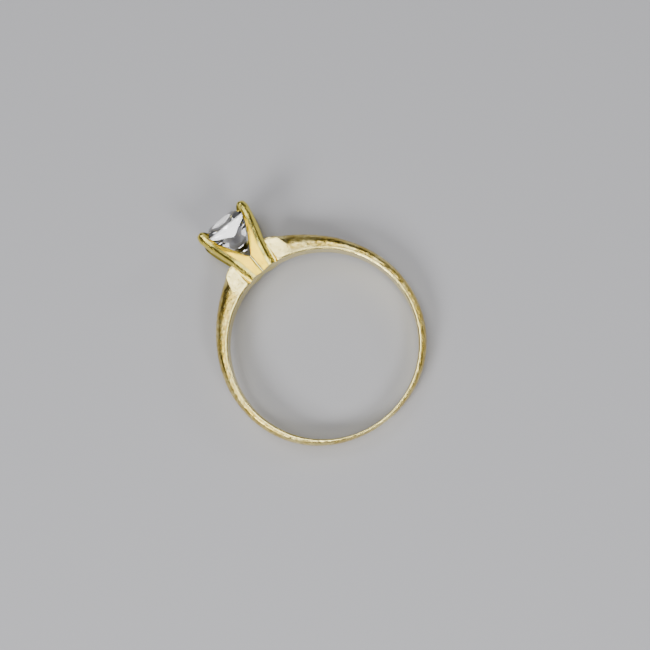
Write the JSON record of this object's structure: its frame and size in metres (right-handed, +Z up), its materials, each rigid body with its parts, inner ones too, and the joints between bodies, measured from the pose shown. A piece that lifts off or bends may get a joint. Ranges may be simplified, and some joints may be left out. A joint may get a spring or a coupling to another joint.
{
  "type": "engagement ring",
  "caption": "Solitaire finger ring: tapered D-section gold band with swept shoulders, tulip-shaped setting of mitred prong bars and a square faceted clear stone, lying on its side",
  "frame": {"origin": "under the middle of the whole ring, on the table that it lies on", "axes": "+Z up from the table; the stone points to -Y, the front, and the back of the band to +Y; +X is the ring's own left. The finger axis leans 4.48 degrees from +Z towards +Y, because the setting is deeper than the band, so the ring rests on its two lower prongs and the back of the band."},
  "size_m": [0.0186, 0.0234, 0.0055],
  "materials": {
    "gold_band": "satin",
    "gold_setting": "polished",
    "gold_solder": "satin",
    "clear_stone": "polished"
  },
  "bodies": {
    "root": {"shank": "gold_band", "prong_upper_left": "gold_setting", "prong_upper_right": "gold_setting", "prong_lower_left": "gold_setting", "prong_lower_right": "gold_setting", "core_solder": "gold_solder", "shoulder_solder_left": "gold_solder", "shoulder_solder_right": "gold_solder", "stone": "clear_stone"}
  },
  "joints": []
}
